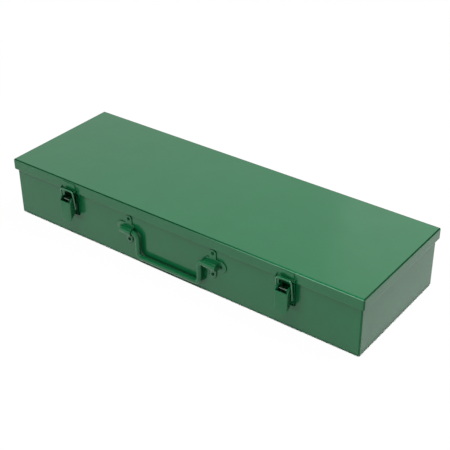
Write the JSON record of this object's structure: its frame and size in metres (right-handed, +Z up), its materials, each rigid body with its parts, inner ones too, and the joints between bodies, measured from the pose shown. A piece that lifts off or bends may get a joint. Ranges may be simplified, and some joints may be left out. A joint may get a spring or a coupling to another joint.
{
  "type": "sheet-steel case with trays",
  "caption": "Long flat green-painted sheet-steel case with a lift lid, draw latches, a folding bail handle and inner trays",
  "frame": {"origin": "middle of the flat underside of the case", "axes": "+X along the case to the right as seen from the latched front, +Y to the hinged back, +Z up through the lid"},
  "size_m": [0.54, 0.1968, 0.0815],
  "materials": {
    "case_enamel": "semi-gloss green enamel on folded sheet steel",
    "hardware_enamel": "the same enamel over pressed steel fittings",
    "tray_enamel": "green enamel on thin sheet steel",
    "pin_steel": "plain steel pins"
  },
  "bodies": {
    "case": {"case_body": "case_enamel", "bottom_tray": "tray_enamel", "bottom_tray_divider_1": "tray_enamel", "bottom_tray_divider_2": "tray_enamel", "bottom_tray_divider_3": "tray_enamel", "hinge_leaf_case_left": "hardware_enamel", "hinge_pin_left": "pin_steel", "latch_base_left": "hardware_enamel", "latch_pin_left": "pin_steel", "handle_bracket_left": "hardware_enamel", "hinge_leaf_case_right": "hardware_enamel", "hinge_pin_right": "pin_steel", "latch_base_right": "hardware_enamel", "latch_pin_right": "pin_steel", "handle_bracket_right": "hardware_enamel", "hinge_rivets_case": "hardware_enamel", "latch_base_rivets": "hardware_enamel", "handle_bracket_rivets": "hardware_enamel"},
    "lid": {"lid": "case_enamel", "hinge_leaf_lid_left": "hardware_enamel", "latch_keeper_left": "hardware_enamel", "hinge_leaf_lid_right": "hardware_enamel", "latch_keeper_right": "hardware_enamel", "hinge_rivets_lid": "hardware_enamel"},
    "lever_left": {"latch_lever_left": "hardware_enamel"},
    "bail_left": {"latch_bail_left": "hardware_enamel"},
    "lever_right": {"latch_lever_right": "hardware_enamel"},
    "bail_right": {"latch_bail_right": "hardware_enamel"},
    "handle": {"handle": "hardware_enamel"},
    "sliding_tray": {"sliding_tray": "tray_enamel", "sliding_tray_divider_1": "tray_enamel", "sliding_tray_divider_2": "tray_enamel"}
  },
  "joints": [
    {"name": "lid_swing", "type": "hinge", "parent": "case", "child": "lid", "pos_m": [0, 0.09275, 0.065], "axis": [-1, 0, 0], "range_deg": [0, 190]},
    {"name": "handle_swing", "type": "hinge", "parent": "case", "child": "handle", "pos_m": [-0.003, -0.0919, 0.0443], "axis": [-1, 0, 0], "range_deg": [-1.5, 172]},
    {"name": "tray_slide", "type": "slide", "parent": "case", "child": "sliding_tray", "axis": [1, 0, 0], "range_m": [0, 0.266]},
    {"name": "lever_left_swing", "type": "hinge", "parent": "case", "child": "lever_left", "pos_m": [-0.1672, -0.0959, 0.0579], "axis": [-1, 0, 0], "range_deg": [0, 150]},
    {"name": "bail_left_swing", "type": "hinge", "parent": "lever_left", "child": "bail_left", "pos_m": [-0.1672, -0.0929, 0.0439], "axis": [-1, 0, 0], "range_deg": [-136, 0]},
    {"name": "lever_right_swing", "type": "hinge", "parent": "case", "child": "lever_right", "pos_m": [0.1695, -0.0959, 0.0579], "axis": [-1, 0, 0], "range_deg": [0, 150]},
    {"name": "bail_right_swing", "type": "hinge", "parent": "lever_right", "child": "bail_right", "pos_m": [0.1695, -0.0929, 0.0439], "axis": [-1, 0, 0], "range_deg": [-136, 0]}
  ],
  "couplings": [
    {"joint": "bail_left_swing", "follows": "lever_left_swing", "ratio": -0.9},
    {"joint": "bail_right_swing", "follows": "lever_right_swing", "ratio": -0.9}
  ]
}
